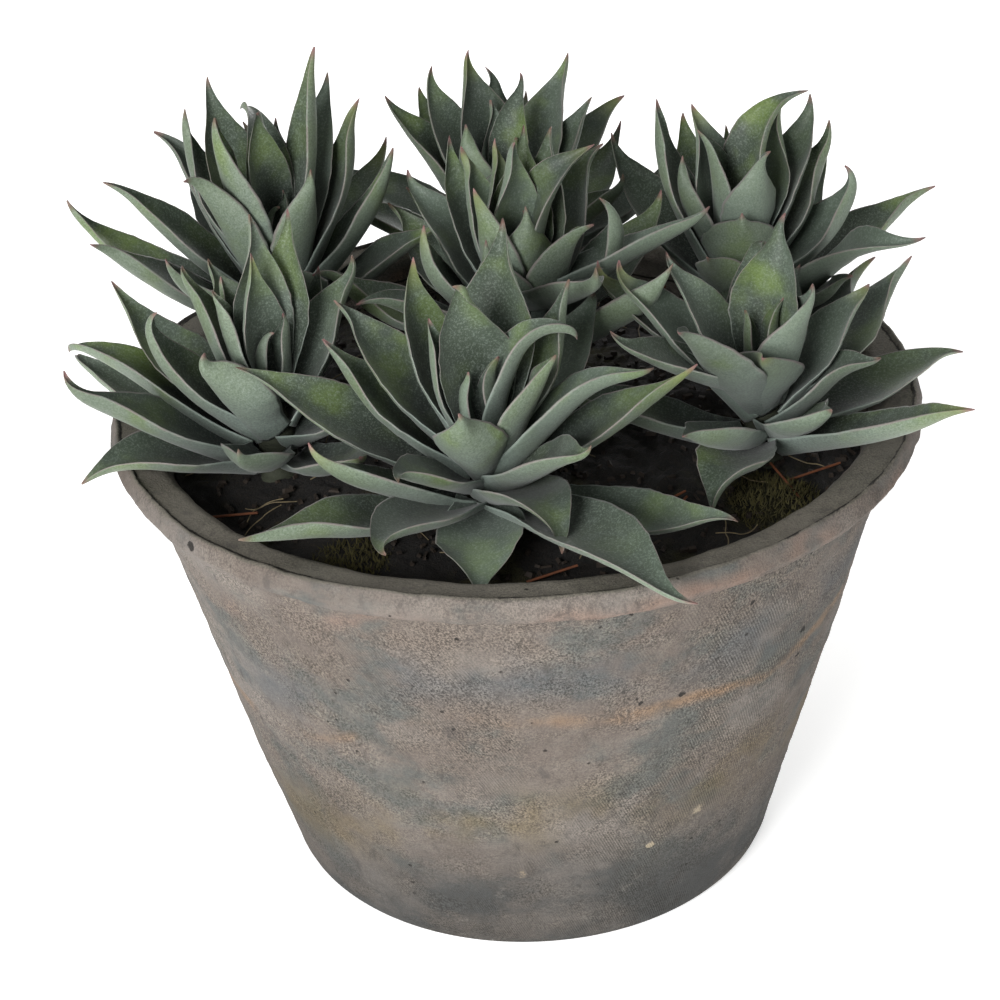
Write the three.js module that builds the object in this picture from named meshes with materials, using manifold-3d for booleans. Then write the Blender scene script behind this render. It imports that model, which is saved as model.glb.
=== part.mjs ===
// Seven houseleeks planted in one round clay pot: six rosettes in a ring and one in the middle.
// Millimetres, +Z up. The origin is the middle of the pot's underside, and -Y is the front.
import * as THREE from "three";
import { mergeVertices } from "three/addons/utils/BufferGeometryUtils.js";
import Module from "manifold-3d";

const wasm = await Module();
wasm.setup();

// ---- Driving sizes ----
const POT_HEIGHT = 212;
const BASE_RADIUS = 107; // outside, at the underside
const BODY_TOP_RADIUS = 163; // where the straight side would meet the top
const COLLAR_RADIUS = 170; // the widest part of the pot
const COLLAR_DEPTH = 14;
const WALL = 12;
const FLOOR = 12;
const DRAIN_RADIUS = 7;
const DRAIN_CIRCLE = 45; // radius of the circle that the drain holes stand on
const DRAINS = 3;
const ROUND_SEGMENTS = 56;

const SOIL_EDGE = 190; // height of the soil at the wall
const SOIL_DOME = 14; // how much higher it is in the middle
const GAP = 0.35; // left between pot, soil and stems
const LEAF_GAP = 0.7; // left round a leaf, whose faces are not quite parallel to the grown one

const STEM_RADIUS = 9;
const STEM_DEPTH = 12; // length of stem below the soil
const PLANTING = 194; // height that the rosettes' lifts are counted from
const LEAF_THICKNESS = 3;
const LEAF_LIFT = 0.6; // height of a leaf's edges over its channel, as a share of its half width
const OUTER_LEAVES = 6; // leaves of each rosette that are pieces of their own

// Width along a leaf: [share of the length, share of the full width].
const LEAF_OUTLINE = [
  [0, 0.5],
  [0.3, 0.8],
  [0.6, 1],
  [0.85, 0.5],
];

// Each leaf: [azimuth, rise at its base, bend on its way to the tip, length, width, curl of its tip].
// Angles are in degrees. The lowest and outermost leaf comes first, the newest one last.
const ROSETTES = [
  {
    name: "front", x: -14, y: -80, lift: 0,
    leaves: [
      [215, 10, 8, 106, 28, 0], [-52, 20, -22, 128, 31, 0], [-32, 10, 5, 102, 28, 0],
      [203, 12, 8, 76, 27, 0], [228, 8, 5, 72, 27, 0], [-94, 16, -28, 52, 26, -20],
      [-75, 24, -30, 66, 27, -40], [168, 20, 18, 104, 30, 0], [-14, 18, 12, 96, 28, -10],
      [-40, 18, 12, 70, 27, -20], [225, 22, 10, 56, 24, 0], [90, 18, 15, 84, 28, 0],
      [163, 28, 18, 80, 30, 0], [-14, 35, 8, 80, 27, -40], [42, 18, 18, 86, 30, 0],
      [-105, 38, 28, 50, 27, 0], [148, 32, 18, 85, 30, 0], [-15, 42, 15, 58, 26, -15],
      [138, 50, 34, 86, 26, 0], [28, 50, 15, 76, 27, 0], [160, 60, 24, 58, 22, 0],
      [70, 64, 8, 90, 33, 0], [112, 72, 8, 72, 31, 0], [4, 92, -45, 74, 20, -75],
    ],
  },
  {
    name: "right", x: 100, y: -42, lift: 2,
    leaves: [
      [195, 28, 12, 76, 26, 0], [-42, 22, 12, 96, 28, 0], [-115, 10, -10, 55, 28, -40],
      [25, 2, 18, 88, 28, 0], [228, 12, 10, 62, 25, 0], [48, 6, 5, 98, 28, 0],
      [-72, 18, 25, 48, 27, 0], [-22, 28, 15, 54, 28, -25], [95, 14, 12, 78, 27, 0],
      [165, 45, 8, 86, 30, 0], [15, 38, 12, 64, 26, 0], [38, 28, 10, 86, 29, 0],
      [143, 46, 8, 72, 22, -20], [220, 40, 15, 76, 31, 0], [92, 44, 5, 72, 24, 0],
      [-88, 30, 25, 44, 29, 0], [-35, 62, 15, 56, 31, 0], [48, 64, 0, 52, 24, 0],
      [70, 82, 0, 72, 30, 0],
    ],
  },
  {
    name: "back_right", x: 100, y: 52, lift: 14,
    leaves: [
      [-38, 32, 12, 100, 28, -20], [60, 12, 15, 92, 28, 0], [95, 14, 12, 88, 28, 0],
      [-55, 28, 5, 66, 26, 0], [15, 18, 18, 90, 28, 0], [135, 20, 15, 88, 28, 0],
      [-104, 28, 18, 50, 24, 0], [0, 34, 18, 76, 30, 50], [160, 56, 14, 92, 28, 15],
      [22, 42, 14, 80, 28, 15], [75, 34, 12, 82, 28, 0], [110, 38, 14, 78, 27, 0],
      [-95, 54, 15, 48, 33, 0], [190, 46, 12, 62, 26, 0], [130, 56, 12, 76, 30, 0],
      [32, 58, 8, 80, 28, 0], [175, 66, 15, 66, 26, 0], [95, 56, 8, 60, 24, 0],
      [50, 64, 5, 76, 28, 0], [-70, 68, 10, 62, 25, 0], [40, 92, -32, 84, 26, -60],
    ],
  },
  {
    name: "back", x: 2, y: 100, lift: 16,
    leaves: [
      [100, 8, 15, 92, 28, 0], [60, 8, 12, 104, 28, 0], [140, 10, 15, 96, 28, 0],
      [20, 14, 15, 84, 27, 0], [180, 20, 12, 82, 27, 0], [85, 24, 15, 88, 28, 0],
      [120, 28, 14, 88, 28, 0], [-20, 30, 12, 66, 26, 0], [205, 34, 12, 62, 26, 0],
      [165, 44, 18, 86, 28, 0], [42, 34, 15, 84, 28, 0], [148, 50, 15, 86, 28, 0],
      [100, 46, 12, 80, 28, 0], [22, 52, 8, 70, 25, 0], [-95, 52, 15, 52, 28, 0],
      [128, 58, 8, 82, 30, 0], [52, 54, 8, 80, 29, 0], [-150, 60, 14, 56, 26, 0],
      [112, 72, 0, 54, 20, 0], [62, 84, -18, 66, 19, -30],
    ],
  },
  {
    name: "back_left", x: -98, y: 55, lift: 16,
    leaves: [
      [165, 18, 18, 104, 28, 0], [195, 30, 10, 92, 29, 0], [90, 12, 14, 92, 28, 0],
      [218, 26, 10, 72, 28, 0], [125, 16, 15, 96, 28, 0], [-15, 32, 18, 78, 28, 0],
      [-75, 36, 18, 56, 28, 0], [55, 22, 15, 88, 28, 0], [176, 36, 18, 92, 26, 0],
      [142, 34, 14, 92, 27, 15], [8, 38, 18, 86, 26, 0], [108, 40, 12, 84, 28, 0],
      [200, 50, 16, 76, 30, -25], [72, 42, 12, 84, 27, 0], [160, 56, 16, 90, 25, 0],
      [22, 48, 16, 90, 30, 15], [-36, 58, 18, 62, 28, 0], [138, 50, 10, 94, 31, 15],
      [-170, 66, 10, 82, 32, 0], [45, 58, 10, 90, 27, 0], [90, 60, 8, 68, 27, 0],
      [22, 66, 12, 106, 24, 0], [135, 74, 8, 80, 22, 0], [110, 86, -22, 88, 19, -90],
    ],
  },
  {
    name: "left", x: -98, y: -38, lift: 2,
    leaves: [
      [203, 16, 6, 76, 30, -40], [190, 16, 10, 92, 29, 0], [-50, 10, 34, 60, 28, 0],
      [152, 6, 12, 98, 29, 0], [-105, 10, 22, 46, 28, 0], [174, 20, 14, 92, 28, 0],
      [100, 12, 14, 76, 27, 0], [-25, 20, 25, 52, 26, 0], [178, 34, 28, 76, 26, 0],
      [150, 28, 12, 90, 28, 0], [62, 38, 14, 68, 28, 30], [-140, 46, 18, 54, 33, -15],
      [38, 46, 14, 74, 27, 0], [160, 46, 18, 72, 28, 0], [118, 40, 12, 70, 28, 0],
      [150, 60, 16, 60, 26, 0], [95, 60, 8, 76, 20, -40], [178, 62, 12, 56, 24, 0],
      [132, 72, 8, 66, 21, 0], [62, 72, 8, 78, 21, 0], [104, 80, 4, 76, 22, 0],
    ],
  },
  {
    name: "middle", x: 4, y: 12, lift: 20,
    leaves: [
      [180, 22, 10, 90, 29, 0], [-38, 30, 5, 90, 28, 0], [-80, 20, 12, 64, 27, 0],
      [215, 24, 12, 74, 27, 0], [80, 20, 12, 74, 27, 0], [135, 26, 15, 80, 28, 0],
      [25, 26, 14, 84, 28, 0], [190, 42, 20, 68, 26, 0], [-5, 40, 18, 78, 31, 45],
      [152, 38, 14, 80, 28, 0], [45, 44, 14, 82, 30, 0], [-120, 44, 18, 54, 26, 0],
      [-30, 56, 18, 60, 28, 0], [132, 50, 10, 82, 28, 0], [90, 46, 10, 74, 27, 0],
      [-142, 64, 16, 66, 26, 0], [150, 62, 10, 74, 25, 0], [52, 62, 10, 78, 29, 0],
      [115, 66, 8, 72, 24, 0], [-75, 68, 12, 52, 24, 0], [70, 74, 5, 74, 27, 0],
      [10, 92, -30, 78, 25, -70], [120, 82, 5, 72, 23, 0],
    ],
  },
];

// Moss cushions on the soil: [x, y, radius, height].
const MOSS = [
  [102, -76, 14, 7],
  [-68, -108, 12, 5],
];

const radians = THREE.MathUtils.degToRad;

// ---- Solids ----
function solidOf(geometry) {
  const bare = new THREE.BufferGeometry();
  const source = geometry.index ? geometry.toNonIndexed() : geometry;
  bare.setAttribute("position", source.getAttribute("position"));
  const merged = mergeVertices(bare, 1e-3);
  return new wasm.Manifold(
    new wasm.Mesh({
      numProp: 3,
      vertProperties: merged.attributes.position.array,
      triVerts: new Uint32Array(merged.index.array),
    }),
  );
}

function geometryOf(solid) {
  const { vertProperties, triVerts } = solid.getMesh();
  const geometry = new THREE.BufferGeometry();
  geometry.setAttribute("position", new THREE.BufferAttribute(vertProperties, 3));
  geometry.setIndex(new THREE.BufferAttribute(triVerts, 1));
  geometry.computeVertexNormals();
  return geometry;
}

// A solid turned round the vertical through x, y. The outline runs [radius, height] from the
// foot of the axis round the outside to the top of the axis.
function turned(outline, x = 0, y = 0, segments = ROUND_SEGMENTS) {
  const points = outline.map(([r, z]) => new THREE.Vector2(r, z));
  const lathe = new THREE.LatheGeometry(points, segments);
  return solidOf(lathe.rotateX(Math.PI / 2).translate(x, y, 0));
}

function largestBody(solid) {
  return solid.decompose().reduce((a, b) => (b.volume() > a.volume() ? b : a));
}

// ---- Pot ----
const SIDE_SLOPE = (BODY_TOP_RADIUS - BASE_RADIUS) / POT_HEIGHT;
const outsideRadius = (z) => BASE_RADIUS + SIDE_SLOPE * z;
const insideRadius = (z) => outsideRadius(z) - WALL;

function potSolid() {
  const neck = POT_HEIGHT - COLLAR_DEPTH;
  const shell = turned([
    [0, 0],
    [BASE_RADIUS - 5, 0],
    [BASE_RADIUS - 1, 1.5],
    [outsideRadius(6), 6],
    [outsideRadius(neck), neck],
    [COLLAR_RADIUS - 5, neck + 1],
    [COLLAR_RADIUS - 0.8, neck + 4],
    [COLLAR_RADIUS, neck + 7],
    [COLLAR_RADIUS - 2, POT_HEIGHT - 3],
    [COLLAR_RADIUS - 6.5, POT_HEIGHT],
    [insideRadius(POT_HEIGHT) + 3, POT_HEIGHT],
    [insideRadius(POT_HEIGHT), POT_HEIGHT - 3],
    [insideRadius(FLOOR + 3), FLOOR + 3],
    [insideRadius(FLOOR) - 4, FLOOR],
    [0, FLOOR],
  ]);
  const drain = new THREE.CylinderGeometry(DRAIN_RADIUS, DRAIN_RADIUS, FLOOR * 3, 24);
  drain.rotateX(Math.PI / 2).translate(DRAIN_CIRCLE, 0, 0);
  let pot = shell;
  for (let i = 0; i < DRAINS; i++) {
    pot = pot.subtract(solidOf(drain.clone().rotateZ((i * 2 * Math.PI) / DRAINS)));
  }
  return pot;
}

// The ring that a leaf keeps clear of: the collar, larger all round by the gap.
function rimClearance() {
  const foot = POT_HEIGHT - COLLAR_DEPTH - 10;
  const ring = turned([
    [0, foot],
    [outsideRadius(foot) + GAP, foot],
    [COLLAR_RADIUS + GAP, POT_HEIGHT - COLLAR_DEPTH],
    [COLLAR_RADIUS + GAP, POT_HEIGHT - 5],
    [COLLAR_RADIUS - 6, POT_HEIGHT + GAP],
    [0, POT_HEIGHT + GAP],
  ]);
  const hollow = turned([
    [0, foot - 1],
    [insideRadius(foot - 1) - GAP, foot - 1],
    [insideRadius(POT_HEIGHT - 3) - GAP, POT_HEIGHT - 3],
    [insideRadius(POT_HEIGHT + 1) - GAP, POT_HEIGHT + 1],
    [0, POT_HEIGHT + 1],
  ]);
  return ring.subtract(hollow);
}

// ---- Soil and moss ----
const soilHeight = (x, y) => {
  const share = Math.min(1, Math.hypot(x, y) / insideRadius(SOIL_EDGE));
  return SOIL_EDGE + SOIL_DOME * (1 - share * share);
};

function soilSolid(grow) {
  const edge = insideRadius(SOIL_EDGE) - GAP;
  const dome = [1, 0.75, 0.5, 0.25, 0].map((share) => [
    share * edge,
    soilHeight(share * edge, 0) + grow,
  ]);
  const foot = FLOOR + GAP;
  return turned([
    [0, foot],
    [insideRadius(FLOOR) - 4 - 2 * GAP, foot],
    [insideRadius(FLOOR + 3) - 2 * GAP, FLOOR + 3],
    ...dome,
  ]);
}

function mossSolid([x, y, radius, height]) {
  const foot = soilHeight(x, y) - 4;
  const cushion = turned(
    [[0, foot], [radius, foot], [radius * 0.98, foot + 4 + height * 0.3],
      [radius * 0.6, foot + 4 + height * 0.85], [0, foot + 4 + height]],
    x, y, 20,
  );
  return cushion.subtract(soilSolid(GAP));
}

// ---- Leaves ----
const smoothStep = (x) => {
  const t = Math.min(1, Math.max(0, x));
  return t * t * (3 - 2 * t);
};

// The leaf's middle line from its base, as points each with a direction.
function leafLine(rosette, index) {
  const [azimuth, rise, bend, length, , curl] = rosette.leaves[index];
  const age = index / (rosette.leaves.length - 1); // 0 for the outermost leaf, 1 for the newest
  const turn = radians(azimuth);
  const out = new THREE.Vector3(Math.cos(turn), Math.sin(turn), 0);
  const reach = index < OUTER_LEAVES ? STEM_RADIUS + 0.5 : STEM_RADIUS * (0.65 - 0.35 * age);
  const foot = PLANTING + rosette.lift + 8 + 26 * age;
  const at = new THREE.Vector3(rosette.x, rosette.y, foot).addScaledVector(out, reach);
  const stops = [...LEAF_OUTLINE.map(([share]) => share), 1];
  const steps = 40;
  const line = [];
  for (let i = 0; i <= steps; i++) {
    const share = i / steps;
    const tilt = radians(rise + bend * share + curl * smoothStep((share - 0.65) / 0.35));
    const along = out.clone().multiplyScalar(Math.cos(tilt)).setZ(Math.sin(tilt));
    if (i > 0) at.addScaledVector(along, length / steps);
    if (stops.some((stop) => Math.round(stop * steps) === i)) {
      const up = out.clone().multiplyScalar(-Math.sin(tilt)).setZ(Math.cos(tilt));
      line.push({ at: at.clone(), along, up });
    }
  }
  return line;
}

// One leaf: a channelled blade with a keel under it, widest past its middle, drawn out to a tip.
// With grow it is that much larger all round, to keep its neighbours clear of it.
function leafSolid(rosette, index, grow = 0) {
  const line = leafLine(rosette, index);
  const width = rosette.leaves[index][4];
  const points = [];
  const faces = [];
  const put = (station, across, height) => {
    const side = new THREE.Vector3().crossVectors(station.up, station.along);
    const p = station.at.clone().addScaledVector(side, across).addScaledVector(station.up, height);
    points.push(p.x, p.y, p.z);
  };
  LEAF_OUTLINE.forEach(([share, fullness], i) => {
    const half = (width / 2) * fullness;
    const edge = half * LEAF_LIFT;
    const thick = LEAF_THICKNESS * (1 - 0.55 * share);
    put(line[i], -half - grow, edge + grow * 0.7);
    put(line[i], 0, -thick - grow * 1.4);
    put(line[i], half + grow, edge + grow * 0.7);
    put(line[i], 0, grow * 1.4);
  });
  const tip = line[LEAF_OUTLINE.length];
  tip.at.addScaledVector(tip.along, grow * 2);
  put(tip, 0, 0);
  const ring = 4;
  for (let i = 0; i + 1 < LEAF_OUTLINE.length; i++) {
    for (let j = 0; j < ring; j++) {
      const [a, b] = [i * ring + j, i * ring + ((j + 1) % ring)];
      faces.push(a, b, b + ring, a, b + ring, a + ring);
    }
  }
  const last = (LEAF_OUTLINE.length - 1) * ring;
  for (let j = 0; j < ring; j++) faces.push(last + j, last + ((j + 1) % ring), points.length / 3 - 1);
  faces.push(0, 3, 1, 3, 2, 1);
  return new wasm.Manifold(
    new wasm.Mesh({
      numProp: 3,
      vertProperties: new Float32Array(points),
      triVerts: new Uint32Array(faces),
    }),
  );
}

function stemSolid({ x, y, lift }, grow = 0) {
  const foot = soilHeight(x, y) - STEM_DEPTH - grow;
  const neck = PLANTING + lift + 16;
  const radius = STEM_RADIUS - 1 + grow;
  return turned(
    [[0, foot], [radius, foot], [radius, neck], [radius * 0.75, neck + 10],
      [3 + grow, neck + 18 + grow], [0, neck + 18 + grow]],
    x, y, 12,
  );
}

// The crown of a rosette: its stem with the upper leaves grown to it.
function crownSolid(rosette, grow = 0) {
  let crown = stemSolid(rosette, grow);
  for (let i = OUTER_LEAVES; i < rosette.leaves.length; i++) {
    crown = crown.add(leafSolid(rosette, i, grow));
  }
  return crown;
}

// ---- Assembly ----
const group = new THREE.Group();
group.name = "potted_houseleek";

function place(name, solid, color) {
  const material = new THREE.MeshStandardMaterial({ color, roughness: 0.8, name });
  const mesh = new THREE.Mesh(geometryOf(solid), material);
  mesh.name = name;
  group.add(mesh);
}

const clearances = [rimClearance(), soilSolid(GAP)];
const cleared = (solid, others) =>
  largestBody(others.reduce((rest, other) => rest.subtract(other), solid));

place("pot", potSolid(), 0x9a8a80);

let soil = soilSolid(0);
for (const rosette of ROSETTES) soil = soil.subtract(stemSolid(rosette, GAP));
place("soil", soil, 0x2b211a);

const keepOff = [];
for (const rosette of ROSETTES) {
  const stem = stemSolid(rosette);
  let blades = wasm.Manifold.union(
    rosette.leaves.slice(OUTER_LEAVES).map((_, i) => leafSolid(rosette, i + OUTER_LEAVES)),
  );
  for (const other of [...clearances, ...keepOff]) blades = blades.subtract(other);
  place("crown_" + rosette.name, largestBody(stem.add(blades)), 0x8fa08e);
  keepOff.push(crownSolid(rosette, LEAF_GAP));
}
for (const rosette of ROSETTES) {
  for (let i = 0; i < OUTER_LEAVES; i++) {
    const leaf = cleared(leafSolid(rosette, i), [...clearances, ...keepOff]);
    place("leaf_" + rosette.name + "_" + (i + 1), leaf, 0x7f917f);
    keepOff.push(leafSolid(rosette, i, LEAF_GAP));
  }
}
MOSS.forEach((patch, i) => place("moss_" + (i + 1), cleared(mossSolid(patch), keepOff), 0x4d5a24));

export default group;
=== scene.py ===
# Seven houseleeks in an old clay pot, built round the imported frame. Metres, +Z up.
import math

import bpy
import numpy as np
from mathutils import Matrix, Vector, noise
from mathutils.bvhtree import BVHTree


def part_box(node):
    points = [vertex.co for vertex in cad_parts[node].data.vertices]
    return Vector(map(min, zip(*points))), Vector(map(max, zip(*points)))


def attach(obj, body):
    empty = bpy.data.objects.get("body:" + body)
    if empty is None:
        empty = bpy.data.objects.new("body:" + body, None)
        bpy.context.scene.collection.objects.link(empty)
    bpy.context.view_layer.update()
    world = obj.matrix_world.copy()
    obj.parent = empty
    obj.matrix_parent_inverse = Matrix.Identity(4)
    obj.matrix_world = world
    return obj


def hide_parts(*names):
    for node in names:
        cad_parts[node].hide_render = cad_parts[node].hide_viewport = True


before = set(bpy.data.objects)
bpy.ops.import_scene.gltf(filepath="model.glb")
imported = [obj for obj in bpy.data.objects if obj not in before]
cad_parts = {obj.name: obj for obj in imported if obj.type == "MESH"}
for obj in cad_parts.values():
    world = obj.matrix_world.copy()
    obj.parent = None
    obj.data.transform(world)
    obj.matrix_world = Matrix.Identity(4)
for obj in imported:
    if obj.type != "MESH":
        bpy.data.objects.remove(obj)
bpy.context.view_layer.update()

# ---- Camera ----
# A long lens a little over a metre away. It looks down at the pot by 30 degrees and is rolled
# slightly.
AIM = Vector((-0.0085, 0, 0.1567))
CAMERA_DISTANCE = 1.1186
CAMERA_DROP = math.radians(29.9)
CAMERA_ROLL = math.radians(-2.63)
FOCAL_LENGTH = 93.6  # mm, on a sensor 36 mm wide

forward = Vector((0, math.cos(CAMERA_DROP), -math.sin(CAMERA_DROP)))
level = Vector((1, 0, 0))
above = level.cross(forward)
right = math.cos(CAMERA_ROLL) * level + math.sin(CAMERA_ROLL) * above
above = right.cross(forward)
lens = bpy.data.cameras.new("camera")
lens.lens = FOCAL_LENGTH
lens.sensor_width = 36
camera = bpy.data.objects.new("camera", lens)
camera.matrix_world = (
    Matrix.Translation(AIM - CAMERA_DISTANCE * forward)
    @ Matrix((right, above, -forward)).transposed().to_4x4()
)
bpy.context.collection.objects.link(camera)
bpy.context.scene.camera = camera

# ---- Studio ----
# A white floor under an even sky, two broad soft lamps low in front, so that what faces up stays
# darker than what faces forward, and a weaker pair behind and above.
LAMPS = {  # place, width, watts
    "key_lamp": ((-0.85, -1.55, 0.85), 0.9, 50),
    "fill_lamp": ((1.3, -1.4, 0.6), 1.1, 11),
    "top_lamp": ((-0.2, 0.3, 1.9), 1.2, 7),
    "back_lamp": ((0.5, 1.9, 0.55), 1.2, 26),
}
SKY_STRENGTH = 0.21
FLOOR_SIZE = 8
FLOOR_LEVEL = -0.0004  # just under the pot, so that the two faces don't lie in one plane


def linear(code):
    """A colour written as sRGB hex, as the linear RGBA that Blender's sockets take."""
    parts = [int(code[i : i + 2], 16) / 255 for i in (1, 3, 5)]
    return [c / 12.92 if c <= 0.04045 else ((c + 0.055) / 1.055) ** 2.4 for c in parts] + [1]


def add(tree, kind, sockets=None, **settings):
    """A node in the tree, with its settings, its socket values and its incoming links."""
    node = tree.nodes.new("ShaderNode" + kind)
    for name, value in settings.items():
        setattr(node, name, value)
    for name, value in (sockets or {}).items():
        if isinstance(value, bpy.types.NodeSocket):
            tree.links.new(value, node.inputs[name])
        else:
            node.inputs[name].default_value = value
    return node


def new_material(name):
    """An empty node material with its shader and output linked."""
    material = bpy.data.materials.new(name)
    material.use_nodes = True
    tree = material.node_tree
    tree.nodes.clear()
    shader = add(tree, "BsdfPrincipled")
    add(tree, "OutputMaterial", {"Surface": shader.outputs["BSDF"]})
    return material, tree, shader


bpy.ops.object.select_all(action="DESELECT")
bpy.ops.mesh.primitive_plane_add(size=FLOOR_SIZE, location=(0, 0, FLOOR_LEVEL))
floor = bpy.context.object
floor.name = "floor"
# Matte white paint, which glows a little so that it stays white away from the lamps.
paint, tree, shader = new_material("matte_white_paint")
shader.inputs["Base Color"].default_value = linear("#f4f4f3")
shader.inputs["Roughness"].default_value = 0.9
shader.inputs["Emission Color"].default_value = (1, 1, 1, 1)
shader.inputs["Emission Strength"].default_value = 0.5
floor.data.materials.append(paint)

for name, (place, width, watts) in LAMPS.items():
    lamp = bpy.data.objects.new(name, bpy.data.lights.new(name, "AREA"))
    lamp.data.size = width
    lamp.data.energy = watts
    lamp.location = place
    lamp.rotation_euler = (AIM - Vector(place)).to_track_quat("-Z", "Y").to_euler()
    bpy.context.collection.objects.link(lamp)
sky = bpy.data.worlds.new("sky")
sky.use_nodes = True
sky.node_tree.nodes["Background"].inputs["Color"].default_value = (1, 1, 1, 1)
sky.node_tree.nodes["Background"].inputs["Strength"].default_value = SKY_STRENGTH
bpy.context.scene.world = sky
bpy.context.scene.view_settings.view_transform = "Standard"


# ---- Pot ----
# Old clay, thrown in one piece on a wheel, with a rolled collar at the rim. Decades outdoors
# have left it uneven and pitted, with grey bloom, warm bands and comb marks on its side.
pot_low, pot_high = [Vector(v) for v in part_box("pot")]
POT_HEIGHT = pot_high.z - pot_low.z
COLLAR_RADIUS = pot_high.x
BASE_RADIUS = 0.107
BODY_TOP_RADIUS = 0.163
WALL = 0.012
POT_FLOOR = 0.012
NECK = POT_HEIGHT - 0.014
TURNS = 400  # faces round the pot
HUB_RADIUS = 0.012  # the disc that the base starts from


def outside(z):
    return BASE_RADIUS + (BODY_TOP_RADIUS - BASE_RADIUS) * z / POT_HEIGHT


def inside(z):
    return outside(z) - WALL


# Corners of half a section, from the middle of the base round the rim to the middle of the
# floor: radius, height, and how many rings lead up to it.
POT_SECTION = [
    (0.030, 0, 1),
    (0.060, 0, 2),
    (BASE_RADIUS - 0.003, 0, 5),
    (BASE_RADIUS - 0.0012, 0.0004, 2),
    (BASE_RADIUS - 0.0002, 0.0016, 2),
    (outside(0.005), 0.005, 2),
    (outside(NECK - 0.004), NECK - 0.004, 84),
    (outside(NECK) + 0.0004, NECK - 0.0008, 2),
    (outside(NECK) + 0.0035, NECK + 0.0008, 2),
    (COLLAR_RADIUS - 0.0025, NECK + 0.0025, 3),
    (COLLAR_RADIUS - 0.0004, NECK + 0.0062, 3),
    (COLLAR_RADIUS - 0.0022, POT_HEIGHT - 0.0022, 4),
    (COLLAR_RADIUS - 0.0034, POT_HEIGHT - 0.0008, 2),
    (COLLAR_RADIUS - 0.0042, POT_HEIGHT - 0.0006, 1),
    (COLLAR_RADIUS - 0.0048, POT_HEIGHT - 0.0022, 1),
    (COLLAR_RADIUS - 0.0056, POT_HEIGHT - 0.0018, 1),
    (inside(POT_HEIGHT) + 0.003, POT_HEIGHT - 0.0022, 6),
    (inside(POT_HEIGHT) + 0.001, POT_HEIGHT - 0.0032, 2),
    (inside(POT_HEIGHT - 0.006), POT_HEIGHT - 0.006, 2),
    (inside(0.18), 0.18, 10),
    (inside(0.016), 0.016, 6),
    (inside(POT_FLOOR) - 0.004, POT_FLOOR, 2),
    (0.060, POT_FLOOR, 2),
    (0.030, POT_FLOOR, 1),
]

bpy.ops.object.select_all(action="DESELECT")
bpy.ops.mesh.primitive_circle_add(vertices=TURNS, radius=HUB_RADIUS, fill_type="TRIFAN")
pot = bpy.context.object
pot.name = "clay_pot"
bpy.ops.object.mode_set(mode="EDIT")
bpy.ops.mesh.select_all(action="DESELECT")
bpy.ops.object.mode_set(mode="OBJECT")
for v in pot.data.vertices:
    v.select = v.co.length > HUB_RADIUS / 2
for e in pot.data.edges:
    e.select = all(pot.data.vertices[i].select for i in e.vertices)
bpy.ops.object.mode_set(mode="EDIT")
bpy.ops.mesh.select_mode(type="EDGE")
radius, height = HUB_RADIUS, 0
for next_radius, next_height, rings in POT_SECTION:
    start_radius, start_height = radius, height
    for ring in range(1, rings + 1):
        share = ring / rings
        ring_radius = start_radius + (next_radius - start_radius) * share
        rise = start_height + (next_height - start_height) * share - height
        bpy.ops.mesh.extrude_edges_move(TRANSFORM_OT_translate={"value": (0, 0, rise)})
        size = ring_radius / radius
        bpy.ops.transform.resize(value=(size, size, 1), center_override=(0, 0, 0))
        radius, height = ring_radius, height + rise
bpy.ops.mesh.edge_face_add()
bpy.ops.mesh.select_all(action="SELECT")
bpy.ops.mesh.normals_make_consistent(inside=False)
bpy.ops.object.mode_set(mode="OBJECT")


def coordinates(mesh):
    values = np.empty(len(mesh.vertices) * 3)
    mesh.vertices.foreach_get("co", values)
    return values.reshape(-1, 3)


def store(mesh, points):
    mesh.vertices.foreach_set("co", np.asarray(points, dtype=float).ravel())
    mesh.update()


def rough(points, grain, octaves=3):
    """Fractal noise from about -1 to 1 at each point, with lumps of the given size in metres."""
    return np.array([noise.fractal(Vector(p) / grain, 1, 2, octaves) for p in points])


def only(piece):
    """Deselect everything and make this piece the one that operators act on."""
    bpy.ops.object.select_all(action="DESELECT")
    piece.select_set(True)
    bpy.context.view_layer.objects.active = piece


# Drain holes, three in the floor.
DRAINS = 3
DRAIN_RADIUS = 0.007
DRAIN_REACH = 0.045  # from the middle of the floor
bpy.ops.object.select_all(action="DESELECT")
drills = []
for i in range(DRAINS):
    angle = i * 2 * math.pi / DRAINS
    place = (DRAIN_REACH * math.cos(angle), DRAIN_REACH * math.sin(angle), POT_FLOOR / 2)
    bpy.ops.mesh.primitive_cylinder_add(vertices=40, radius=DRAIN_RADIUS, depth=0.04, location=place)
    drills.append(bpy.context.object)
bpy.ops.object.select_all(action="DESELECT")
for drill in drills:
    drill.select_set(True)
bpy.context.view_layer.objects.active = drills[0]
bpy.ops.object.join()
drill = bpy.context.object
only(pot)
cut = pot.modifiers.new("drain_holes", "BOOLEAN")
cut.object = drill
bpy.ops.object.modifier_apply(modifier=cut.name)
bpy.data.objects.remove(drill)

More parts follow.
